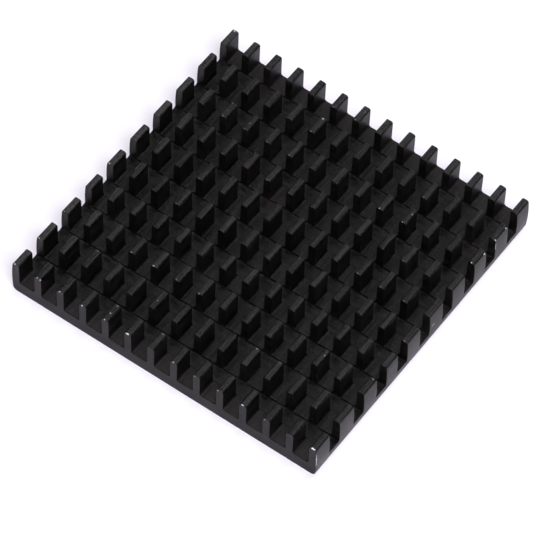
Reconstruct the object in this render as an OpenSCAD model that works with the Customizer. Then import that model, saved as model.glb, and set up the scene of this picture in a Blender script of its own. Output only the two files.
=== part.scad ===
// Pin fin heat sink, sawn from one length of aluminium extrusion and anodised black.
// The extrusion is a flat plate that carries a comb of thin fins. Saw cuts across the fins, a little
// deeper than the channels between them, leave rows of short upright pins.
//
// Millimetres. X runs across the fins, Y runs along them and Z points up. The origin is the centre of
// the flat underside, which seats on the chip.

/* [Base plate] */
// Width of the plate across the fins, where its sides swell out most
base_width = 40; // [25:0.5:60]
// Length of the plate along the fins
base_length = 40; // [25:0.5:60]
// Thickness of the plate under the channels
base_thickness = 1.7; // [1:0.05:4]
// Radius of the two long lower edges
lower_edge_radius = 0.6; // [0.1:0.05:0.9]
// How far each long side swells out between its lower and upper edge
side_swell = 0.15; // [0.05:0.01:0.3]

/* [Fins] */
// Number of fins across the width
fin_count = 14; // [4:1:16]
// Height of the fins above the channel floor
fin_height = 3.1; // [2:0.05:8]
// Thickness of an inner fin
fin_thickness = 0.9; // [0.7:0.01:1.1]
// Thickness of the first and the last fin
outer_fin_thickness = 1; // [0.7:0.01:1.2]
// Radius of the two edges of a fin's tip
tip_radius = 0.28; // [0.05:0.01:0.34]
// Radius of the fillet where a fin meets the channel floor
foot_radius = 0.25; // [0.05:0.01:0.35]

/* [Saw cuts] */
// Number of pins in each fin, one more than the saw cuts
row_count = 10; // [2:1:12]
// Width of a saw cut
cut_width = 1.85; // [0.8:0.01:2]
// How far a saw cut goes below the channel floor
cut_depth = 0.2; // [0.02:0.01:0.6]
// Radius of the blade's worn corners, left at both sides of a cut's floor
cut_corner_radius = 0.15; // [0.02:0.01:0.35]
// How far each cut stands behind its even place, from the front, as unevenly spaced blades leave them
cut_shifts = [0.05, 0.3, 0.3, 0, 0, 0.1, 0.1, 0, 0.05]; // [-0.3:0.05:0.3]

/* [Hidden] */

total_height = base_thickness + fin_height;
// Middle of one fin to the middle of the next
fin_pitch = (base_width - outer_fin_thickness) / (fin_count - 1);
// Length of a pin along its fin where the cuts beside it are in their even places
pin_length = (base_length - (row_count - 1) * cut_width) / row_count;
row_pitch = pin_length + cut_width;
// Each long side is an arc, with its centre at half height
side_radius = (pow(total_height / 2, 2) + pow(side_swell, 2)) / (2 * side_swell);
side_centre = [base_width / 2 - side_radius, total_height / 2];
// How far a cutting shape runs past the surface that it cuts through
clearance = 1;
anodised_black = [0.11, 0.11, 0.12];
fine = 64;
extra_fine = 720;

function fin_x(index) = (index - (fin_count - 1) / 2) * fin_pitch;
function cut_shift(index) = index <= len(cut_shifts) ? cut_shifts[index - 1] : 0;
function cut_y(index) = (index - row_count / 2) * row_pitch + cut_shift(index);

// Centre of an edge round that touches both the underside and the arc of the right side
function edge_centre(radius) =
    [side_centre.x + sqrt(pow(side_radius - radius, 2) - pow(side_centre.y - radius, 2)), radius];

// Rectangle on the X axis whose two upper corners are round
module round_topped_bar(width, height, radius) {
    translate([-width / 2, 0])
        square([width, height - radius]);
    translate([radius - width / 2, 0])
        square([width - 2 * radius, height]);
    for (side = [-1, 1])
        translate([side * (width / 2 - radius), height - radius])
            circle(r = radius, $fn = fine);
}

// Filler for an inside corner at the origin, between the X axis and the Y axis
module corner_fillet(radius) {
    difference() {
        square(radius);
        translate([radius, radius])
            circle(r = radius, $fn = fine);
    }
}

// What is taken off to round the lower edge of the right side
module edge_round_waste(radius) {
    centre = edge_centre(radius);
    side_point = side_centre + (centre - side_centre) * side_radius / (side_radius - radius);
    outside = base_width / 2 + clearance;
    difference() {
        polygon([centre, [centre.x, -clearance], [outside, -clearance], [outside, side_point.y], side_point]);
        translate(centre)
            circle(r = radius, $fn = fine);
    }
}

// What is taken off the right side to leave its long arc between a round lower and a round upper edge
module side_waste() {
    start_x = (side_centre.x + base_width / 2) / 2;
    difference() {
        translate([start_x, -clearance])
            square([base_width / 2 + clearance - start_x, total_height + 2 * clearance]);
        translate(side_centre)
            circle(r = side_radius, $fn = extra_fine);
    }
    edge_round_waste(lower_edge_radius);
    translate([0, total_height])
        mirror([0, 1])
            edge_round_waste(tip_radius);
}

// Fin with a fillet at each side of its foot, its own middle on the Y axis
module fin_section(thickness) {
    round_topped_bar(thickness, total_height, tip_radius);
    for (side = [0, 1])
        mirror([side, 0])
            translate([thickness / 2, base_thickness])
                corner_fillet(foot_radius);
}

// First or last fin, whose outer face stays square here and is shaped with the side of the plate
module outer_fin_section() {
    fin_section(outer_fin_thickness);
    square([outer_fin_thickness / 2, total_height]);
}

// Cross section of the extrusion
module extrusion_section() {
    difference() {
        union() {
            translate([-base_width / 2, 0])
                square([base_width, base_thickness]);
            for (index = [1 : fin_count - 2])
                translate([fin_x(index), 0])
                    fin_section(fin_thickness);
            for (side = [0, 1])
                mirror([side, 0])
                    translate([fin_x(fin_count - 1), 0])
                        outer_fin_section();
        }
        for (side = [0, 1])
            mirror([side, 0])
                side_waste();
    }
}

// Section of one saw cut, with the blade's worn corners at its floor
module cut_section() {
    floor_z = base_thickness - cut_depth;
    mirror([0, 1])
        translate([0, -total_height - clearance])
            round_topped_bar(cut_width, total_height + clearance - floor_z, cut_corner_radius);
}

// One saw cut right across the width
module saw_cut() {
    rotate([90, 0, 90])
        linear_extrude(height = base_width + 2 * clearance, center = true)
            cut_section();
}

// The whole heat sink: the extrusion, cut to length and sawn across
module heat_sink() {
    color(anodised_black)
        difference() {
            rotate([90, 0, 0])
                linear_extrude(height = base_length, center = true)
                    extrusion_section();
            for (index = [1 : row_count - 1])
                translate([0, cut_y(index), 0])
                    saw_cut();
        }
}

heat_sink();
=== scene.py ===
"""Dresses the pin fin heat sink: one length of finned aluminium, sawn across and anodised black.

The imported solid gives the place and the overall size. This script builds the same form again with
the fine shape that the solid leaves out: broken edges along every saw cut, chipped pin corners and
pins that stand a hair out of line. It then gives each surface the finish of the tool that left it.
Sections and marks are in millimetres, and the finished mesh is in metres.
"""

import logging
import math
import random
from dataclasses import dataclass
from enum import Enum

import bmesh
import bpy
from mathutils import Matrix, Vector


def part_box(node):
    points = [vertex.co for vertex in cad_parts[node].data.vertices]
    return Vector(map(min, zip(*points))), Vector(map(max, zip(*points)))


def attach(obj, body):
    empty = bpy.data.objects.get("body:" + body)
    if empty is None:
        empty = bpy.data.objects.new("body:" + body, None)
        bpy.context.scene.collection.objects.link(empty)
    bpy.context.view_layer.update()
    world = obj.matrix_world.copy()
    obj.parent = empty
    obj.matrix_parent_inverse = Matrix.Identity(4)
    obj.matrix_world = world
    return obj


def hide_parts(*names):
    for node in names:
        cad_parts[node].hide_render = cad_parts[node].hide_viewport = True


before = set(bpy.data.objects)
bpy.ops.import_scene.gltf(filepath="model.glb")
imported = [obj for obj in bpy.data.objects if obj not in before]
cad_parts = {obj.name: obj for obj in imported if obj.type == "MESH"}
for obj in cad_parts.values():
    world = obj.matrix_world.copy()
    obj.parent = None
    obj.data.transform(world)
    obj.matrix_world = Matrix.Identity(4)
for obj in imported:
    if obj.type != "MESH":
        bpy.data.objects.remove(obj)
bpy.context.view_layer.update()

MM = 0.001
HEAT_SINK_NODE = "heat_sink"
BODY = "root"
SEED = 7

log = logging.getLogger("heat_sink")

Point = tuple[float, float, float]
SectionPoint = tuple[float, float]
Colour = tuple[float, float, float, float]
Setting = object


# --- Shader arithmetic ---


class Value:
    """A shader socket that takes part in Python sums."""

    def __init__(self, graph: "Graph", socket: bpy.types.NodeSocket) -> None:
        """Keeps the socket and the graph that its sums go into."""
        self.graph = graph
        self.socket = socket

    def _sum(self, operation: str, first: "Value | float", second: "Value | float") -> "Value":
        """Adds one Math node."""
        return self.graph.node("ShaderNodeMath", {"operation": operation}, {0: first, 1: second})

    def __add__(self, other: "Value | float") -> "Value":
        """This value plus another."""
        return self._sum("ADD", self, other)

    def __radd__(self, other: float) -> "Value":
        """A number plus this value."""
        return self._sum("ADD", other, self)

    def __sub__(self, other: "Value | float") -> "Value":
        """This value less another."""
        return self._sum("SUBTRACT", self, other)

    def __rsub__(self, other: float) -> "Value":
        """A number less this value."""
        return self._sum("SUBTRACT", other, self)

    def __mul__(self, other: "Value | float") -> "Value":
        """This value times another."""
        return self._sum("MULTIPLY", self, other)

    def __rmul__(self, other: float) -> "Value":
        """A number times this value."""
        return self._sum("MULTIPLY", other, self)

    def at_most(self, other: "Value | float") -> "Value":
        """The smaller of this value and another."""
        return self._sum("MINIMUM", self, other)

    def at_least(self, other: "Value | float") -> "Value":
        """The larger of this value and another."""
        return self._sum("MAXIMUM", self, other)


class Graph:
    """The node tree of one material or world."""

    def __init__(self, tree: bpy.types.NodeTree) -> None:
        """Empties the tree.

        Args:
            tree: The tree that the graph builds in.
        """
        self.tree = tree
        tree.nodes.clear()

    def node(
        self,
        kind: str,
        settings: dict[str, Setting] | None = None,
        inputs: dict[int | str, Setting] | None = None,
        output: int | str = 0,
    ) -> Value:
        """Adds a node.

        Args:
            kind: The node's type.
            settings: The node's own settings, set before its sockets.
            inputs: A value or a link for each socket that isn't left as it is.
            output: The output that the result stands for.

        Returns:
            The chosen output.
        """
        made = self.tree.nodes.new(kind)
        for name, setting in (settings or {}).items():
            setattr(made, name, setting)
        for socket, given in (inputs or {}).items():
            if isinstance(given, Value):
                self.tree.links.new(given.socket, made.inputs[socket])
            else:
                made.inputs[socket].default_value = given
        return Value(self, made.outputs[output] if made.outputs else made.inputs[0])

    def stretched(self, vector: Value, factors: Point) -> Value:
        """Scales each part of a vector by its own factor."""
        return self.node("ShaderNodeVectorMath", {"operation": "MULTIPLY"}, {0: vector, 1: factors})

    def scaled(self, vector: "Value | Point", factor: Value) -> Value:
        """Scales a vector or a colour by a value."""
        inputs = {"Vector": vector, "Scale": factor}
        return self.node("ShaderNodeVectorMath", {"operation": "SCALE"}, inputs)

    def summed(self, first: Value, second: Value | Point) -> Value:
        """Adds two vectors or colours."""
        return self.node("ShaderNodeVectorMath", {"operation": "ADD"}, {0: first, 1: second})

    def stored(self, name: str, output: str = "Fac") -> Value:
        """Reads one of the mesh's attributes."""
        return self.node("ShaderNodeAttribute", {"attribute_name": name}, None, output)

    def beside(self, value: Value, output: int | str) -> Value:
        """Another output of the node that a value comes from."""
        return Value(self, value.socket.node.outputs[output])

    def parts(self, vector: Value) -> tuple[Value, Value, Value]:
        """Splits a vector into its three parts."""
        x = self.node("ShaderNodeSeparateXYZ", None, {0: vector})
        return x, self.beside(x, 1), self.beside(x, 2)

    def joined(self, x: Value | float, y: Value | float, z: Value | float) -> Value:
        """Makes a vector of three values."""
        return self.node("ShaderNodeCombineXYZ", None, {0: x, 1: y, 2: z})

    def length(self, vector: Value) -> Value:
        """Length of a vector."""
        return self.node("ShaderNodeVectorMath", {"operation": "LENGTH"}, {0: vector}, "Value")

    def ramp(self, value: Value, low: float, high: float) -> Value:
        """Smooth rise of a value from 0 at low to 1 at high, or a fall where low is above high."""
        inputs = {"Value": value, "From Min": low, "From Max": high}
        return self.node("ShaderNodeMapRange", {"interpolation_type": "SMOOTHSTEP"}, inputs)

    def blend(self, factor: Value, first: Setting, second: Setting) -> Value:
        """Mixes two colours, the second by the factor."""
        colour_a, colour_b, colour_out = 6, 7, 2
        inputs = {0: factor, colour_a: first, colour_b: second}
        return self.node("ShaderNodeMix", {"data_type": "RGBA"}, inputs, colour_out)

    def bump(self, height: Value, depth: float, normal: Value | None = None) -> Value:
        """Tilts the normal by a height.

        Args:
            height: The height, from 0 to 1.
            depth: What a height of 1 is in millimetres.
            normal: A normal that is tilted already.

        Returns:
            The tilted normal.
        """
        inputs: dict[int | str, Setting] = {"Height": height, "Distance": depth * MM, "Strength": 1.0}
        if normal is not None:
            inputs["Normal"] = normal
        return self.node("ShaderNodeBump", None, inputs)


# --- Wear ---


class Place(Enum):
    """A spot on a pin.

    Each is a share of the pin's half width, of its half length and of its height down from the tip.
    """

    FRONT = (-0.15, -0.97, 0.01)
    FRONT_LEFT = (-0.5, -1.0, 0.03)
    FRONT_RIGHT = (0.72, -0.97, 0.03)
    FRONT_UPRIGHT = (0.95, -1.0, 0.3)
    FRONT_FOOT = (0.95, -1.0, 0.65)
    CROWN = (-0.1, -0.12, 0.0)
    CROWN_RIGHT = (0.45, 0.35, 0.0)
    REAR = (0.0, 0.87, 0.0)
    REAR_LEFT = (-0.5, 0.86, 0.0)
    REAR_RIGHT = (0.9, 0.72, 0.03)
    FLANK = (1.0, -0.28, 0.8)
    FLANK_MIDDLE = (1.0, -0.5, 0.66)
    FLANK_FRONT = (1.0, -0.2, 0.21)


class Knock(Enum):
    """How hard a pin was knocked.

    Each has the bare spot's half size across, along and upright in millimetres, and the share of
    the black that is gone there.
    """

    SCUFF = (0.1, 0.09, 0.07, 0.12)
    SPECK = (0.08, 0.07, 0.06, 0.3)
    LIGHT = (0.1, 0.08, 0.07, 0.5)
    FIRM = (0.13, 0.1, 0.09, 0.65)
    HARD = (0.24, 0.12, 0.12, 1.0)
    RUBBED = (0.07, 0.07, 0.9, 0.5)
    SCRATCHED = (0.05, 0.3, 0.12, 0.3)

    @property
    def reach(self) -> Point:
        """Half size of the bare spot."""
        across, along, upright, _ = self.value
        return across, along, upright

    @property
    def bareness(self) -> float:
        """Share of the black that is gone."""
        return self.value[3]


@dataclass(frozen=True)
class Nick:
    """A spot where a knock or a rub has taken the black off a pin.

    Attributes:
        column: The fin, counted from the left.
        row: The row, counted from the front.
        place: Where it is on the pin.
        knock: How hard the pin was knocked there.
    """

    column: int
    row: int
    place: Place
    knock: Knock

    DEPTH_SHARE = 0.4

    @property
    def depth(self) -> float:
        """How much metal is gone, in millimetres."""
        return min(self.knock.reach) * self.knock.bareness * self.DEPTH_SHARE


NICK_LAYERS = 3


def nick_layer(index: int) -> str:
    """Name of the mesh attribute that says where one layer of nicks is."""
    return f"nick_{index}"


def share_layer(index: int) -> str:
    """Name of the mesh attribute that says how bare one layer of nicks is."""
    return f"nick_{index}_share"


def alike(place: Place, knock: Knock, *pins: tuple[int, int]) -> tuple[Nick, ...]:
    """The same nick on several pins, each given by its column and row."""
    return tuple(Nick(column, row, place, knock) for column, row in pins)


NICKS = (
    *alike(
        Place.FRONT,
        Knock.SCUFF,
        (11, 1), (5, 2), (3, 5), (10, 5), (11, 5), (12, 5), (3, 6), (5, 6), (6, 6),
        (7, 6), (11, 6), (3, 7), (4, 7), (10, 8), (5, 9),
    ),
    *alike(
        Place.FRONT,
        Knock.SPECK,
        (0, 2), (3, 2), (6, 2), (3, 4), (13, 4), (2, 7), (5, 7), (10, 7), (5, 8),
        (6, 9),
    ),
    *alike(
        Place.FRONT,
        Knock.LIGHT,
        (1, 0), (2, 0), (4, 0), (7, 0), (0, 1), (0, 4), (9, 7), (13, 7),
    ),
    *alike(Place.FRONT, Knock.FIRM, (0, 0), (3, 0), (10, 0), (4, 2)),
    *alike(Place.FRONT, Knock.HARD, (5, 0), (13, 0)),
    *alike(Place.FRONT_LEFT, Knock.LIGHT, (8, 0), (9, 0), (11, 0)),
    *alike(Place.FRONT_RIGHT, Knock.SPECK, (2, 0)),
    *alike(Place.FRONT_RIGHT, Knock.FIRM, (1, 0)),
    *alike(Place.FRONT_RIGHT, Knock.HARD, (13, 8)),
    *alike(Place.FRONT_UPRIGHT, Knock.RUBBED, (13, 0), (13, 8)),
    *alike(Place.FRONT_FOOT, Knock.SCUFF, (11, 2)),
    *alike(Place.FRONT_FOOT, Knock.RUBBED, (13, 0)),
    *alike(Place.CROWN, Knock.SCUFF, (2, 7), (3, 7)),
    *alike(Place.CROWN, Knock.SPECK, (5, 1)),
    *alike(Place.CROWN, Knock.LIGHT, (4, 0)),
    *alike(Place.CROWN_RIGHT, Knock.SCUFF, (6, 9)),
    *alike(Place.CROWN_RIGHT, Knock.SPECK, (11, 2), (10, 7)),
    *alike(Place.REAR, Knock.SCUFF, (6, 0), (10, 1)),
    *alike(Place.REAR, Knock.SPECK, (4, 0), (2, 1), (9, 1), (13, 2)),
    *alike(Place.REAR, Knock.FIRM, (5, 8), (0, 9)),
    *alike(Place.REAR_LEFT, Knock.SCUFF, (2, 7)),
    *alike(Place.REAR_RIGHT, Knock.SCUFF, (13, 1), (13, 2), (13, 5)),
    *alike(Place.REAR_RIGHT, Knock.SPECK, (13, 6)),
    *alike(Place.REAR_RIGHT, Knock.HARD, (13, 7), (13, 8)),
    *alike(Place.FLANK, Knock.SPECK, (5, 1)),
    *alike(Place.FLANK_MIDDLE, Knock.SCRATCHED, (13, 5)),
    *alike(Place.FLANK_FRONT, Knock.SCUFF, (11, 2), (13, 6), (8, 9)),
)


# --- Finishes ---


def grey(tone: float) -> Colour:
    """A grey."""
    return tone, tone, tone, 1.0


@dataclass(frozen=True)
class Pattern:
    """Noise of one size.

    Attributes:
        per_mm: Its patches to a millimetre.
        detail: How many finer layers it has.
        roughness: How strong the finer layers are.
    """

    per_mm: float
    detail: float
    roughness: float = 0.5

    def read(self, graph: Graph, place: Value) -> Value:
        """The pattern at a place, from 0 to 1 around a half."""
        shape = {"Scale": self.per_mm, "Detail": self.detail, "Roughness": self.roughness}
        return graph.node("ShaderNodeTexNoise", {"noise_dimensions": "3D"}, {"Vector": place, **shape})


GRAIN = Pattern(26.0, 2.0, 0.6)
MOTTLE = Pattern(4.2, 3.0, 0.7)
CLOUD = Pattern(0.45, 3.0, 0.55)
STAIN = Pattern(0.3, 3.0, 0.55)
RAGGED_EDGE = Pattern(6.0, 3.0, 0.65)


@dataclass(frozen=True)
class Surface:
    """What varies over a finish.

    Attributes:
        marks: Height of the tool's marks.
        mottle: Small patches.
        cloud: Large patches.
        pin: The tone of the whole pin, from -1 to 1.
    """

    marks: Value
    mottle: Value
    cloud: Value
    pin: Value


@dataclass(frozen=True)
class Sway:
    """How far each thing that varies over a finish moves a value from its middle.

    Attributes:
        middle: The value where nothing moves it.
        marks: The range that the tool's marks give it.
        mottle: The range that the small patches give it.
        cloud: The range that the large patches give it.
        pin: How far a pin's own tone moves it.
    """

    middle: float
    marks: float
    mottle: float
    cloud: float = 0.0
    pin: float = 0.0

    def over(self, surface: Surface) -> Value:
        """The value over a surface."""
        swayed = self.middle + (surface.marks - 0.5) * self.marks + (surface.mottle - 0.5) * self.mottle
        if self.cloud:
            swayed = swayed + (surface.cloud - 0.5) * self.cloud
        if self.pin:
            swayed = swayed + surface.pin * self.pin
        return swayed


@dataclass(frozen=True)
class BareMetal:
    """Aluminium where the black has come off.

    Attributes:
        colour: Its colour.
        roughness: Its roughness.
    """

    colour: Colour
    roughness: float


BARE_METAL = BareMetal((0.86, 0.87, 0.88, 1.0), 0.3)
STAIN_COLOUR = (0.0115, 0.0076, 0.009, 1.0)
# Painted light: the lighter colour of the channel floors near the open ends.
OPEN_END_COLOUR = (0.0205, 0.0168, 0.019, 1.0)


@dataclass(frozen=True)
class OpenEnds:
    """The channels' two open ends, where the floors get painted light: a lighter colour near each end.
    All is in millimetres.

    Attributes:
        half_length: How far the ends are from the sink's middle.
        floor: Height of the channel floors.
        reach: How far in the painted light starts.
        full: How far in it is at its strongest.
    """

    half_length: float
    floor: float
    reach: float = 3.4
    full: float = 0.8

    FACE_IN, FACE_OUT = 0.2, 0.02
    WALL_LOW, WALL_HIGH = 0.05, 0.4

    def dulling(self, graph: Graph, place: Value) -> Value:
        """How much painted light the floor gets, with none on the end faces and the pins.

        Args:
            graph: The material's graph.
            place: The spot on the part, in millimetres.

        Returns:
            The painted light's share, from 0 to 1.
        """
        _, y, z = graph.parts(place)
        out = y.at_least(0.0 - y)
        near_end = graph.ramp(out, self.half_length - self.reach, self.half_length - self.full)
        off_face = graph.ramp(out, self.half_length - self.FACE_OUT, self.half_length - self.FACE_IN)
        low = graph.ramp(z, self.floor + self.WALL_HIGH, self.floor + self.WALL_LOW)
        return near_end * off_face * low


class Lay(Enum):
    """The way that a tool's marks run over a surface."""

    DRAWN = "along the fins"
    SAWN = "with the blade"


@dataclass(frozen=True)
class AnodisedFinish:
    """Black anodised aluminium, over the marks of the tool that shaped the surface.

    Attributes:
        name: The material's name.
        lay: The way of the tool's marks.
        marks_per_mm: How many marks cross a millimetre.
        mark_depth: How deep the marks are, in millimetres.
        roughness: The roughness of the oxide.
        gloss: How strongly the oxide mirrors.
        dark: The colour in the deep parts of the marks.
        light: The colour on their crests.
        rubbed: The lighter colour of the tips, partly rubbing from handling and partly painted
            highlight.
    """

    name: str
    lay: Lay
    marks_per_mm: float
    mark_depth: float
    roughness: float
    gloss: float
    dark: Colour = grey(0.0001)
    light: Colour = grey(0.0118)
    # Lighter tip colour: rubbing and painted highlight.
    rubbed: Colour = grey(0.038)

    ALONG = 0.035
    BLADE_RADIUS = 42.0
    ARBOR_X = 6.0
    BROAD_SHARE, BROAD_DETAIL = 0.4, 1.0
    FINE_DETAIL, FINE_ROUGHNESS = 3.0, 0.65
    BARE_RIM, BARE_CORE, RAGGED = 1.05, 0.75, 2.0
    GRAIN_DEPTH = 0.0011
    MOTTLE_DEPTH = 0.014
    TONE = Sway(0.5, marks=3.6, mottle=5.0, cloud=0.5, pin=0.1)
    TONE_DARK, TONE_LIGHT = 0.1, 1.35
    STAIN_PLACE = (31.0, 7.0, 0.0)
    STAIN_RIM, STAIN_CORE, STAIN_LEAST = 0.56, 0.72, 0.35
    DULL_LEAST, DULL_MOTTLE = 0.3, 0.6
    # Rubbing and painted highlight on the tips: how the lighter tip colour varies.
    RUB = Sway(0.9, marks=2.2, mottle=4.2, pin=0.1)
    RUB_LEAST, RUB_MOST = 0.3, 2.3
    METAL_GLINT = Sway(0.25, marks=-1.1, mottle=-0.4)

    def marks(self, graph: Graph, place: Value) -> Value:
        """Height of the tool's marks.

        Args:
            graph: The material's graph.
            place: The spot on the part, in millimetres.

        Returns:
            The height, from 0 to 1.
        """
        if self.lay is Lay.DRAWN:
            lined = graph.stretched(place, (1.0, self.ALONG, 1.0))
        else:
            x, y, z = graph.parts(place)
            from_arbor = graph.length(graph.joined(x - self.ARBOR_X, 0.0, z - self.BLADE_RADIUS))
            lined = graph.joined(x * self.ALONG, y, from_arbor)
        broad = Pattern(self.marks_per_mm * self.BROAD_SHARE, self.BROAD_DETAIL).read(graph, lined)
        fine = Pattern(self.marks_per_mm, self.FINE_DETAIL, self.FINE_ROUGHNESS).read(graph, lined)
        return broad * 0.5 + fine * 0.5

    def bare(self, graph: Graph, place: Value) -> Value:
        """Where the black is off.

        Args:
            graph: The material's graph.
            place: The spot on the part, in millimetres.

        Returns:
            1 on bare metal and 0 on the oxide.
        """
        ragged = (RAGGED_EDGE.read(graph, place) - 0.5) * self.RAGGED
        found: Value | float = 0.0
        for layer in range(NICK_LAYERS):
            out = graph.length(graph.stored(nick_layer(layer), "Vector")) + ragged
            share = graph.stored(share_layer(layer))
            found = graph.ramp(out, self.BARE_RIM, self.BARE_CORE) * share + found
        return found.at_most(1.0)

    def oxide(self, graph: Graph, place: Value, surface: Surface, ends: OpenEnds) -> Value:
        """Colour of the oxide: its black and stains, painted light on the floors near the open ends, and
        rubbing with painted highlight on the tips.

        Args:
            graph: The material's graph.
            place: The spot on the part, in millimetres.
            surface: What varies there.
            ends: The painted light on the floors near the channels' open ends.

        Returns:
            The colour.
        """
        tone = graph.ramp(self.TONE.over(surface), self.TONE_DARK, self.TONE_LIGHT)
        colour = graph.blend(tone, self.dark, self.light)
        patch = STAIN.read(graph, graph.summed(place, self.STAIN_PLACE))
        stain = graph.ramp(patch, self.STAIN_RIM, self.STAIN_CORE)
        colour = graph.blend(stain * (self.STAIN_LEAST + surface.mottle), colour, STAIN_COLOUR)
        # Painted light: the channel floors near the open ends are coloured lighter.
        dulled = ends.dulling(graph, place) * (self.DULL_LEAST + surface.mottle * self.DULL_MOTTLE)
        colour = graph.blend(dulled, colour, OPEN_END_COLOUR)
        # Rubbing and painted highlight: the tips' rounds are coloured lighter, most on the left column,
        # the rear row and near the sawn ends.
        worn = graph.ramp(graph.stored("tip"), self.RUB_LEAST, self.RUB_MOST)
        rub = worn * self.RUB.over(surface)
        return graph.blend(rub.at_least(0.0), colour, self.rubbed)

    def build(self, ends: OpenEnds) -> bpy.types.Material:
        """Makes the material.

        Args:
            ends: The painted light on the floors near the channels' open ends.

        Returns:
            The material.
        """
        material = bpy.data.materials.new(self.name)
        material.use_nodes = True
        graph = Graph(material.node_tree)
        place = graph.stretched(graph.node("ShaderNodeTexCoord", None, None, "Object"), (1 / MM,) * 3)
        surface = Surface(
            self.marks(graph, place),
            MOTTLE.read(graph, place),
            CLOUD.read(graph, place),
            graph.stored("pin_tone"),
        )
        bare = self.bare(graph, place)
        oxide = self.oxide(graph, place, surface, ends)
        roughness = Sway(self.roughness, marks=0.25, mottle=0.45, cloud=0.2, pin=0.03).over(surface)
        glint = self.METAL_GLINT.over(surface).at_least(0.0)
        normal = graph.bump(surface.marks, self.mark_depth)
        normal = graph.bump(surface.mottle, self.MOTTLE_DEPTH, normal)
        normal = graph.bump(GRAIN.read(graph, place), self.GRAIN_DEPTH, normal)
        shader = graph.node(
            "ShaderNodeBsdfPrincipled",
            None,
            {
                "Base Color": graph.blend(bare, oxide, BARE_METAL.colour),
                "Metallic": bare + (1.0 - bare) * glint,
                "Roughness": roughness * (1.0 - bare) + bare * BARE_METAL.roughness,
                "IOR": 1.5,
                "Specular IOR Level": self.gloss,
                "Normal": normal,
            },
        )
        graph.node("ShaderNodeOutputMaterial", None, {"Surface": shader})
        return material


DRAWN_FINISH = AnodisedFinish(
    name="drawn_black_anodised",
    lay=Lay.DRAWN,
    marks_per_mm=8.0,
    mark_depth=0.004,
    roughness=0.42,
    gloss=0.228,
)
SAWN_FINISH = AnodisedFinish(
    name="sawn_black_anodised",
    lay=Lay.SAWN,
    marks_per_mm=6.0,
    mark_depth=0.0085,
    roughness=0.5,
    gloss=0.285,
)


# --- The heat sink ---


def arc(centre: SectionPoint, radius: float, start: float, end: float, steps: int) -> list[SectionPoint]:
    """Points along an arc.

    Args:
        centre: The arc's centre.
        radius: Its radius.
        start: The angle of its first point, in degrees.
        end: The angle of its last point, in degrees.
        steps: How many chords it is cut into.

    Returns:
        The points, with both ends.
    """
    angles = [math.radians(start + (end - start) * step / steps) for step in range(steps + 1)]
    return [(centre[0] + radius * math.cos(a), centre[1] + radius * math.sin(a)) for a in angles]


class Weld:
    """Collects faces in millimetres and joins the corners that fall together."""

    def __init__(self) -> None:
        """Starts with no faces."""
        self.corners: dict[tuple[int, int, int], int] = {}
        self.points: list[Point] = []
        self.faces: list[list[int]] = []
        self.slots: list[int] = []

    def corner(self, point: Point) -> int:
        """Number of the corner at a point, which is new if no other lies there."""
        finest = 1e-5
        key = tuple(round(part / finest) for part in point)
        if key not in self.corners:
            self.corners[key] = len(self.points)
            self.points.append(point)
        return self.corners[key]

    def face(self, outline: list[Point], slot: int) -> None:
        """Adds one flat face.

        Args:
            outline: Its corners in order.
            slot: The finish that it takes.
        """
        corners: list[int] = []
        for point in outline:
            number = self.corner(point)
            if number not in corners:
                corners.append(number)
        if len(corners) > 2:
            self.faces.append(corners)
            self.slots.append(slot)

    def sheet(self, lines: list[list[Point]], slot: int) -> None:
        """Adds four-cornered faces between lines of as many points each.

        Args:
            lines: The lines, side by side.
            slot: The finish that the sheet takes.
        """
        for near, far in zip(lines, lines[1:]):
            for index in range(len(near) - 1):
                self.face([near[index], near[index + 1], far[index + 1], far[index]], slot)

    def mesh(self, name: str) -> bpy.types.Mesh:
        """Makes a mesh of the faces, all facing outwards."""
        made = bpy.data.meshes.new(name)
        made.from_pydata(self.points, [], self.faces)
        made.polygons.foreach_set("material_index", self.slots)
        shaped = bmesh.new()
        shaped.from_mesh(made)
        bmesh.ops.recalc_face_normals(shaped, faces=shaped.faces)
        shaped.to_mesh(made)
        shaped.free()
        return made


@dataclass(frozen=True)
class FinSpan:
    """The room that one fin takes across the sink.

    Attributes:
        left: Its left side.
        right: Its right side.
    """

    left: float
    right: float

    @property
    def middle(self) -> float:
        """The fin's middle."""
        return (self.left + self.right) / 2

    @property
    def half(self) -> float:
        """Half of the fin's thickness."""
        return (self.right - self.left) / 2


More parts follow.
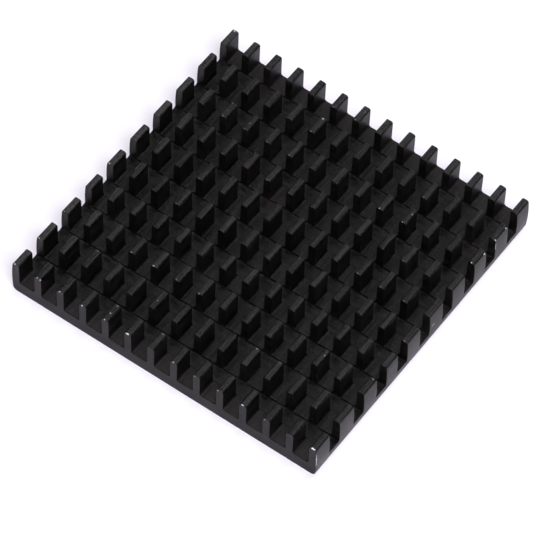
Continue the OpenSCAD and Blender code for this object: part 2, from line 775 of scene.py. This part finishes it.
@dataclass(frozen=True)
class Section:
    """Cross section of the extrusion, seen along the fins, with X to the right and Z up.

    Attributes:
        width: Width across the swollen sides.
        height: Height of the tips.
        plate: Thickness of the plate under the channels.
        fin_count: Number of fins.
        fin: Thickness of an inner fin.
        outer_fin: Thickness of the first and the last fin.
        tip_radius: Radius of a tip's two edges.
        foot_radius: Radius of the fillet at a fin's foot.
        edge_radius: Radius of the two lower edges.
        swell: How far each side swells out.
    """

    width: float
    height: float
    plate: float = 1.7
    fin_count: int = 14
    fin: float = 0.9
    outer_fin: float = 1.0
    tip_radius: float = 0.28
    foot_radius: float = 0.25
    edge_radius: float = 0.6
    swell: float = 0.15

    TIP_STEPS = 6
    FOOT_STEPS = 5
    EDGE_STEPS = 8
    WALL_STEPS = 8

    @property
    def fin_height(self) -> float:
        """Height of the fins above the channel floor."""
        return self.height - self.plate

    @property
    def side_radius(self) -> float:
        """Radius of the arc of each side."""
        return ((self.height / 2) ** 2 + self.swell**2) / (2 * self.swell)

    @property
    def side_centre(self) -> SectionPoint:
        """Centre of the arc of the right side."""
        return self.width / 2 - self.side_radius, self.height / 2

    def side_x(self, z: float) -> float:
        """How far the right side stands from the middle at a height."""
        x, middle = self.side_centre
        return x + math.sqrt(self.side_radius**2 - (z - middle) ** 2)

    def round_centre(self, radius: float) -> SectionPoint:
        """Centre of a round that touches the underside and the right side's arc."""
        x, middle = self.side_centre
        return x + math.sqrt((self.side_radius - radius) ** 2 - (middle - radius) ** 2), radius

    def side_angle(self, radius: float) -> float:
        """How far below level the round at the lower edge leaves the side, in degrees."""
        x, z = self.round_centre(radius)
        return math.degrees(math.atan2(self.side_centre[1] - z, x - self.side_centre[0]))

    def spans(self) -> list[FinSpan]:
        """Every fin from left to right."""
        pitch = (self.width - self.outer_fin) / (self.fin_count - 1)
        made = []
        for index in range(self.fin_count):
            middle = (index - (self.fin_count - 1) / 2) * pitch
            outer = index in (0, self.fin_count - 1)
            half = (self.outer_fin if outer else self.fin) / 2
            made.append(FinSpan(middle - half, middle + half))
        return made

    def wall(self, low: float) -> list[SectionPoint]:
        """The right side from a height up to its upper round, and over that to the flat of the tip."""
        x, z = self.round_centre(self.tip_radius)
        lean = self.side_angle(self.tip_radius)
        upper = arc((x, self.height - z), self.tip_radius, lean, 90, self.TIP_STEPS)
        rise = (upper[0][1] - low) / self.WALL_STEPS
        heights = [low + rise * step for step in range(self.WALL_STEPS)]
        return [(self.side_x(height), height) for height in heights] + upper

    def flank(self, span: FinSpan) -> list[SectionPoint]:
        """The right side of an inner fin, from the channel floor up to the flat of the tip."""
        foot = (span.right + self.foot_radius, self.plate + self.foot_radius)
        tip = (span.right - self.tip_radius, self.height - self.tip_radius)
        rising = arc(foot, self.foot_radius, 270, 180, self.FOOT_STEPS)
        middle = (span.right, (self.plate + self.height) / 2)
        return rising + [middle] + arc(tip, self.tip_radius, 0, 90, self.TIP_STEPS)

    def fin_outline(self, index: int) -> list[SectionPoint]:
        """One fin's outline, from the floor on its left over the tip to the floor on its right."""
        span = self.spans()[index]
        mirrored = FinSpan(-span.right, -span.left)
        right = self.wall(self.plate) if index == self.fin_count - 1 else self.flank(span)
        left = self.wall(self.plate) if index == 0 else self.flank(mirrored)
        return [(-x, z) for x, z in left] + right[::-1]

    def floor_breaks(self) -> list[float]:
        """Where each channel floor starts and ends, from left to right."""
        spans = self.spans()
        breaks = []
        for left, right in zip(spans, spans[1:]):
            breaks += [left.right + self.foot_radius, right.left - self.foot_radius]
        return breaks

    def underside(self, high: float) -> list[SectionPoint]:
        """The outline from a height on the left, round the underside, to that height on the right."""
        lean = self.side_angle(self.edge_radius)
        lower = arc(self.round_centre(self.edge_radius), self.edge_radius, -lean, -90, self.EDGE_STEPS)
        right = [(self.side_x(high), high)] + lower
        return [(-x, z) for x, z in right] + right[::-1]


@dataclass(frozen=True)
class SawCuts:
    """The saw cuts that part the fins into pins.

    Attributes:
        length: Length of the sink along the fins.
        row_count: Number of pins in a fin.
        width: Width of a cut.
        depth: How far a cut goes below the channel floor.
        corner_radius: Radius that the blade's worn corners leave at both sides of a cut's floor.
        shifts: How far each cut stands behind its even place, from the front.
        steps: How many chords the round at each side of a cut's floor has.
    """

    length: float
    row_count: int = 10
    width: float = 1.85
    depth: float = 0.2
    corner_radius: float = 0.15
    shifts: tuple[float, ...] = (0.05, 0.3, 0.3, 0.0, 0.0, 0.1, 0.1, 0.0, 0.05)
    steps: int = 4

    @property
    def pitch(self) -> float:
        """Front of one row to the front of the next, where the cuts are in their even places."""
        return (self.length + self.width) / self.row_count

    def rows(self) -> list[tuple[float, float]]:
        """Front and rear of every row of pins."""
        half = self.length / 2
        starts = [index * self.pitch - self.width - half for index in range(1, self.row_count)]
        rears = [start + shift for start, shift in zip(starts, self.shifts)]
        fronts = [rear + self.width for rear in rears]
        fronts.insert(0, -half)
        rears.append(half)
        return list(zip(fronts, rears))

    def side(self) -> list[tuple[float, float]]:
        """One side of a cut, from its floor up: how far each point is from the pins, and its height."""
        radius = self.corner_radius
        rounded = arc((radius, radius), radius, 270, 180, self.steps)
        return rounded + [(0.0, self.depth)]


@dataclass
class HeatSink:
    """The whole heat sink, one solid piece of metal.

    Attributes:
        section: The extrusion's section.
        cuts: The saw cuts.
        nicks: Where the black is off.
        edge_break: How much the saw's edges are broken.
        drift: How far a tip may stand out of line.
    """

    section: Section
    cuts: SawCuts
    nicks: tuple[Nick, ...] = NICKS
    edge_break: float = 0.035
    drift: float = 0.02
    finishes: tuple[AnodisedFinish, ...] = (DRAWN_FINISH, SAWN_FINISH)

    DRAWN = 0
    SAWN = 1
    STATION_STEPS = (0.0, 0.1, 0.25)
    SHARP_DEGREES = 50
    # The tips are coloured lighter on the left column and the rear row (rubbing and painted highlight)
    # and near the sawn ends (painted highlight).
    LEFT_WEAR = 1.9
    REAR_WEAR = 1.25
    END_WEAR = 1.3
    NO_NICK = (0.0, 0.0, -99.0)
    BITE_REACH = 1.4
    BITE_SPREAD = 0.3

    def build(self) -> bpy.types.Object:
        """Makes the piece, shaped, marked and finished."""
        weld = Weld()
        rows = self.cuts.rows()
        for row, (front, rear) in enumerate(rows):
            self._sweep_row(weld, front, rear)
            self._row_end(weld, front, -1, row == 0)
            self._row_end(weld, rear, 1, row == len(rows) - 1)
            self._row_sides(weld, row)
        for (_, rear), (front, _) in zip(rows, rows[1:]):
            self._cut_floor(weld, rear + self.cuts.corner_radius, front - self.cuts.corner_radius)
        self._plate(weld)
        piece = bpy.data.objects.new("black_heat_sink", weld.mesh("black_heat_sink"))
        bpy.context.scene.collection.objects.link(piece)
        self._break_edges(piece)
        self._mark_pins(piece.data)
        piece.data.transform(Matrix.Scale(MM, 4))
        # Painted light on the channel floors near the two open ends.
        ends = OpenEnds(self.cuts.length / 2, self.section.plate)
        for finish in self.finishes:
            piece.data.materials.append(finish.build(ends))
        return piece

    def _stations(self, front: float, rear: float) -> list[float]:
        """Where the mesh of a pin is divided along its length, closest near its two ends."""
        steps = self.STATION_STEPS
        return [front + step for step in steps] + [rear - step for step in steps[::-1]]

    def _floor_z(self) -> float:
        """Height of the floor of a saw cut."""
        return self.section.plate - self.cuts.depth

    def _across(self, z: float) -> list[float]:
        """Where the floor of a cut is divided across the sink at a height."""
        side = self.section.side_x(z)
        return [-side] + self.section.floor_breaks() + [side]

    def _sweep_row(self, weld: Weld, front: float, rear: float) -> None:
        """Adds the fins and channel floors of one row, which the die drew."""
        outline: list[SectionPoint] = []
        for index in range(self.section.fin_count):
            outline += self.section.fin_outline(index)
        lines = [[(x, y, z) for x, z in outline] for y in self._stations(front, rear)]
        weld.sheet(lines, self.DRAWN)

    def _row_end(self, weld: Weld, face_y: float, side: int, plate_end: bool) -> None:
        """Adds the sawn ends of one row's pins, and the round under them.

        Args:
            weld: Where the faces go.
            face_y: Where the pins end.
            side: Which way the ends face, -1 for the front and 1 for the rear.
            plate_end: Whether the plate ends here too, so that there is no round.
        """
        for index in range(self.section.fin_count):
            weld.face([(x, face_y, z) for x, z in self.section.fin_outline(index)], self.SAWN)
        if plate_end:
            return
        lines = []
        for out, rise in self.cuts.side():
            z = self._floor_z() + rise
            lines.append([(x, face_y + side * out, z) for x in self._across(z)])
        weld.sheet(lines, self.SAWN)

    def _row_sides(self, weld: Weld, row: int) -> None:
        """Adds the strip of each long side between the cuts' floor and the channel floor."""
        front, rear = self.cuts.rows()[row]
        first, last = row == 0, row == self.cuts.row_count - 1
        inner = self._stations(front, rear)[1:-1]
        for side in (-1, 1):
            lines = []
            for out, rise in self.cuts.side():
                z = self._floor_z() + rise
                ends = (front - (0 if first else out), rear + (0 if last else out))
                x = side * self.section.side_x(z)
                lines.append([(x, y, z) for y in [ends[0], *inner, ends[1]]])
            weld.sheet(lines, self.DRAWN)

    def _cut_floor(self, weld: Weld, start: float, end: float) -> None:
        """Adds the flat floor of one saw cut."""
        z = self._floor_z()
        weld.sheet([[(x, y, z) for x in self._across(z)] for y in (start, end)], self.SAWN)

    def _plate(self, weld: Weld) -> None:
        """Adds the underside, the lower sides and the two sawn ends of the plate."""
        rows = self.cuts.rows()
        stations = []
        for row, (front, rear) in enumerate(rows):
            stations.append(front - (0 if row == 0 else self.cuts.corner_radius))
            stations += self._stations(front, rear)[1:-1]
            stations.append(rear + (0 if row == len(rows) - 1 else self.cuts.corner_radius))
        outline = self.section.underside(self._floor_z())
        weld.sheet([[(x, y, z) for x, z in outline] for y in stations], self.DRAWN)
        top = [(x, self.section.plate) for x in self._across(self.section.plate)]
        levels = [self._floor_z() + rise for _, rise in self.cuts.side()][1:-1]
        right = [(self.section.side_x(z), z) for z in levels]
        left = [(-x, z) for x, z in right]
        for y in (stations[0], stations[-1]):
            weld.face([(x, y, z) for x, z in outline + right + top[::-1] + left[::-1]], self.SAWN)

    def _break_edges(self, piece: bpy.types.Object) -> None:
        """Breaks the edges that the saw left and shades the rest smooth."""
        edges = piece.modifiers.new("broken_edges", "BEVEL")
        edges.limit_method = "ANGLE"
        edges.angle_limit = math.radians(self.SHARP_DEGREES)
        edges.width = self.edge_break
        edges.segments = 2
        edges.use_clamp_overlap = False
        normals = piece.modifiers.new("even_normals", "WEIGHTED_NORMAL")
        normals.keep_sharp = True
        piece.data.shade_smooth()
        bpy.context.view_layer.update()
        graph = bpy.context.evaluated_depsgraph_get()
        shaped = bpy.data.meshes.new_from_object(piece.evaluated_get(graph))
        piece.modifiers.clear()
        piece.data = shaped

    def _pin_at(self, point: Vector) -> tuple[int, int]:
        """Column and row of the pin nearest to a point."""
        last_column, last_row = self.section.fin_count - 1, self.cuts.row_count - 1
        pitch = (self.section.width - self.section.outer_fin) / last_column
        column = round(point.x / pitch + last_column / 2)
        row = round(point.y / self.cuts.pitch + last_row / 2)
        return min(max(column, 0), last_column), min(max(row, 0), last_row)

    def _nick_centre(self, nick: Nick) -> Vector:
        """Middle of a nick."""
        span = self.section.spans()[nick.column]
        front, rear = self.cuts.rows()[nick.row]
        across, along, down = nick.place.value
        x = span.middle + across * span.half
        y = (front + rear) / 2 + along * (rear - front) / 2
        beyond_flat = max(0.0, abs(across) * span.half - span.half + self.section.tip_radius)
        sag = self.section.tip_radius - math.sqrt(self.section.tip_radius**2 - beyond_flat**2)
        return Vector((x, y, self.section.height - max(sag, down * self.section.fin_height)))

    def _rub_at(self, pin: tuple[int, int], point: Vector) -> float:
        """How much lighter the tip is coloured, partly for rubbing and partly as painted highlight,
        which is most on the left and rear rims and near the sawn ends.

        Args:
            pin: The pin's column and row.
            point: A point of it.

        Returns:
            The share of rubbing and painted highlight, which is 0 on the black.
        """
        column, row = pin
        front, rear = self.cuts.rows()[row]
        rub = max(0.0, 1.0 - (self.section.height - point.z) / self.section.tip_radius)
        if column == 0:
            rub *= self.LEFT_WEAR
        if row == self.cuts.row_count - 1:
            rub *= self.REAR_WEAR
        if min(abs(point.y - front), abs(point.y - rear)) < self.edge_break * 2:
            rub *= self.END_WEAR
        return rub

    def _nicks_by_pin(self) -> dict[tuple[int, int], list[Nick]]:
        """The nicks of each pin that has any."""
        found: dict[tuple[int, int], list[Nick]] = {}
        for nick in self.nicks:
            found.setdefault((nick.column, nick.row), []).append(nick)
        return found

    def _mark_pins(self, mesh: bpy.types.Mesh) -> None:
        """Moves each pin a little out of line, chips its nicks and stores its marks in the mesh."""
        chance = random.Random(SEED)
        pins = [(c, r) for c in range(self.section.fin_count) for r in range(self.cuts.row_count)]
        tones = {pin: chance.uniform(-1, 1) for pin in pins}
        leans = {pin: chance.uniform(-1, 1) for pin in pins}
        kinds = {"pin_tone": "FLOAT", "tip": "FLOAT"}
        for index in range(NICK_LAYERS):
            kinds[nick_layer(index)] = "FLOAT_VECTOR"
            kinds[share_layer(index)] = "FLOAT"
        for name, kind in kinds.items():
            mesh.attributes.new(name, kind, "POINT")
        stored = {name: mesh.attributes[name].data for name in kinds}
        nicks = self._nicks_by_pin()
        for vertex in mesh.vertices:
            start = vertex.co.copy()
            pin = self._pin_at(start)
            rise = (start.z - self.section.plate) / self.section.fin_height
            stored["pin_tone"][vertex.index].value = tones[pin]
            # The tips' rubbing and painted highlight, stored for the finish.
            stored["tip"][vertex.index].value = self._rub_at(pin, start)
            for index in range(NICK_LAYERS):
                offset, share = Vector(self.NO_NICK), 0.0
                if index < len(nicks.get(pin, ())):
                    nick = nicks[pin][index]
                    away = start - self._nick_centre(nick)
                    offset = Vector([part / reach for part, reach in zip(away, nick.knock.reach)])
                    share = nick.knock.bareness
                    bite = max(0.0, 1.0 - offset.length / self.BITE_REACH)
                    spread = Vector((away.x * self.BITE_SPREAD, away.y * self.BITE_SPREAD, nick.depth))
                    vertex.co -= spread * bite
                stored[nick_layer(index)][vertex.index].vector = offset
                stored[share_layer(index)][vertex.index].value = share
            if 0 < rise and 0 < pin[0] < self.section.fin_count - 1:
                vertex.co.x += leans[pin] * self.drift * rise**2


# --- Studio ---


@dataclass(frozen=True)
class SoftBox:
    """One soft panel of light, far enough off to be the same for every pin.

    Attributes:
        name: Its name in the studio.
        azimuth: How far it stands round from the front of the sink, in degrees.
        elevation: How far it stands above level, in degrees.
        reach: How far from its middle its glow ends, in degrees.
        strength: How bright its middle is, where 1 is white.
    """

    name: str
    azimuth: float
    elevation: float
    reach: float
    strength: float

    FULL_SHARE = 0.45

    @property
    def direction(self) -> Point:
        """The way from the sink to the panel."""
        turn, rise = math.radians(self.azimuth), math.radians(self.elevation)
        return math.sin(turn) * math.cos(rise), -math.cos(turn) * math.cos(rise), math.sin(rise)

    def glow(self, graph: Graph, way: Value) -> Value:
        """Its light for a way out of the studio.

        Args:
            graph: The world's graph.
            way: The way that is looked along.

        Returns:
            The light's colour.
        """
        inputs = {0: way, 1: self.direction}
        towards = graph.node("ShaderNodeVectorMath", {"operation": "DOT_PRODUCT"}, inputs, "Value")
        edge = math.cos(math.radians(self.reach))
        full = math.cos(math.radians(self.reach * self.FULL_SHARE))
        return graph.scaled((self.strength,) * 3, graph.ramp(towards, edge, full))


@dataclass(frozen=True)
class Studio:
    """White floor and soft light.

    Attributes:
        floor_size: Width of the floor, in metres.
        floor_tone: How white the floor's paper is.
        floor_lift: What it gives the eye beyond the light on it, a cool white that thins the shadow.
        gloss_lift: The same in the sink's gloss, which is a little darker and more violet.
        haze: How bright the room is at the level of the floor.
        haze_top: How high the room's glow reaches, as the sine of its elevation.
        haze_full: How high it is at its brightest, as the sine of its elevation.
        boxes: The soft boxes.
    """

    floor_size: float = 3.0
    floor_tone: float = 0.7
    floor_lift: Point = (0.295, 0.265, 0.345)
    gloss_lift: Point = (0.23, 0.175, 0.295)
    haze: float = 0.95
    haze_top: float = 0.17
    haze_full: float = 0.05
    boxes: tuple[SoftBox, ...] = (
        SoftBox("front_right", 55.0, 49.0, 25.0, 8.6),
        SoftBox("overhead", 0.0, 90.0, 27.0, 1.7),
        SoftBox("rear", 181.0, 68.0, 20.0, 3.8),
        SoftBox("low_rear_left", 218.0, 11.0, 15.0, 5.0),
    )

    JUST_BELOW = -0.00001

    def build_floor(self) -> bpy.types.Object:
        """Makes the floor, which keeps the sink's shadow."""
        half = self.floor_size / 2
        mesh = bpy.data.meshes.new("studio_floor")
        sides = ((-half, -half), (half, -half), (half, half), (-half, half))
        corners = [(x, y, self.JUST_BELOW) for x, y in sides]
        mesh.from_pydata(corners, [], [(0, 1, 2, 3)])
        floor = bpy.data.objects.new("studio_floor", mesh)
        bpy.context.scene.collection.objects.link(floor)
        material = bpy.data.materials.new("white_paper")
        material.use_nodes = True
        graph = Graph(material.node_tree)
        to_eye = graph.node("ShaderNodeLightPath", None, None, "Is Camera Ray")
        seen = to_eye.at_least(graph.beside(to_eye, "Is Transmission Ray"))
        lift = graph.blend(seen, grey(0.0), self.floor_lift + (1.0,))
        lift = graph.blend(graph.beside(to_eye, "Is Glossy Ray"), lift, self.gloss_lift + (1.0,))
        shader = graph.node(
            "ShaderNodeBsdfPrincipled",
            None,
            {
                "Base Color": grey(self.floor_tone),
                "Roughness": 0.9,
                "Specular IOR Level": 0.1,
                "Emission Color": lift,
                "Emission Strength": 1.0,
            },
        )
        graph.node("ShaderNodeOutputMaterial", None, {"Surface": shader})
        mesh.materials.append(material)
        return floor

    def build_light(self) -> None:
        """Makes the pale room and its soft boxes."""
        world = bpy.data.worlds.new("pale_room")
        bpy.context.scene.world = world
        world.use_nodes = True
        graph = Graph(world.node_tree)
        way = graph.node("ShaderNodeTexCoord", None, None, "Generated")
        _, _, rise = graph.parts(way)
        light = graph.scaled((self.haze,) * 3, graph.ramp(rise, self.haze_top, self.haze_full))
        for box in self.boxes:
            light = graph.summed(light, box.glow(graph, way))
            log.info("soft box: %s", box.name)
        background = graph.node("ShaderNodeBackground", None, {"Color": light, "Strength": 1.0})
        graph.node("ShaderNodeOutputWorld", None, {"Surface": background})


@dataclass(frozen=True)
class StudioCamera:
    """The camera that looks down on one corner of the sink.

    Attributes:
        azimuth: How far it stands round from the front, in degrees.
        elevation: How far it stands above level, in degrees.
        roll: How far it leans, in degrees.
        distance: How far it is from the aim, in metres.
        lens: Focal length, in millimetres on a 36 mm sensor.
        aim_right: How far the aim is right of the sink's middle in the view, in metres.
        aim_up: How far the aim is above it in the view, in metres.
    """

    azimuth: float = 33.2
    elevation: float = 54.94
    roll: float = 2.96
    distance: float = 0.41247
    lens: float = 248.6
    aim_right: float = 0.00047
    aim_up: float = -0.00189

    SENSOR_WIDTH = 36.0
    NEAREST, FARTHEST = 0.01, 10.0

    def build(self, middle: Vector) -> bpy.types.Object:
        """Makes the camera.

        Args:
            middle: The middle of the sink's underside.

        Returns:
            The camera.
        """
        turn, rise, lean = (math.radians(a) for a in (self.azimuth, self.elevation, self.roll))
        level = math.cos(rise)
        back = Vector((math.sin(turn) * level, -math.cos(turn) * level, math.sin(rise)))
        right = Vector((math.cos(turn), math.sin(turn), 0.0))
        up = back.cross(right)
        aim = middle + right * self.aim_right + up * self.aim_up
        leaned_right = right * math.cos(lean) + up * math.sin(lean)
        leaned_up = up * math.cos(lean) - right * math.sin(lean)
        data = bpy.data.cameras.new("product_camera")
        data.lens = self.lens
        data.sensor_width = self.SENSOR_WIDTH
        data.clip_start = self.NEAREST
        data.clip_end = self.FARTHEST
        camera = bpy.data.objects.new("product_camera", data)
        turned = Matrix((leaned_right, leaned_up, back)).transposed().to_4x4()
        camera.matrix_world = Matrix.Translation(aim + back * self.distance) @ turned
        bpy.context.scene.collection.objects.link(camera)
        bpy.context.scene.camera = camera
        return camera


def main() -> None:
    """Builds the studio and the heat sink."""
    logging.basicConfig(level=logging.INFO, format="%(name)s: %(message)s")
    low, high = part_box(HEAT_SINK_NODE)
    size = (high - low) / MM
    studio = Studio()
    floor = studio.build_floor()
    log.info("%s: %.1f m wide", floor.name, studio.floor_size)
    studio.build_light()
    camera = StudioCamera().build(Vector(((low.x + high.x) / 2, (low.y + high.y) / 2, low.z)))
    log.info("%s: %.1f mm lens", camera.name, camera.data.lens)

    sink = HeatSink(Section(width=size.x, height=size.z), SawCuts(length=size.y))
    piece = sink.build()
    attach(piece, BODY)
    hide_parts(HEAT_SINK_NODE)
    log.info("%s: %d faces", piece.name, len(piece.data.polygons))

    bpy.context.scene.view_settings.view_transform = "Standard"


if __name__ == "__main__":
    main()
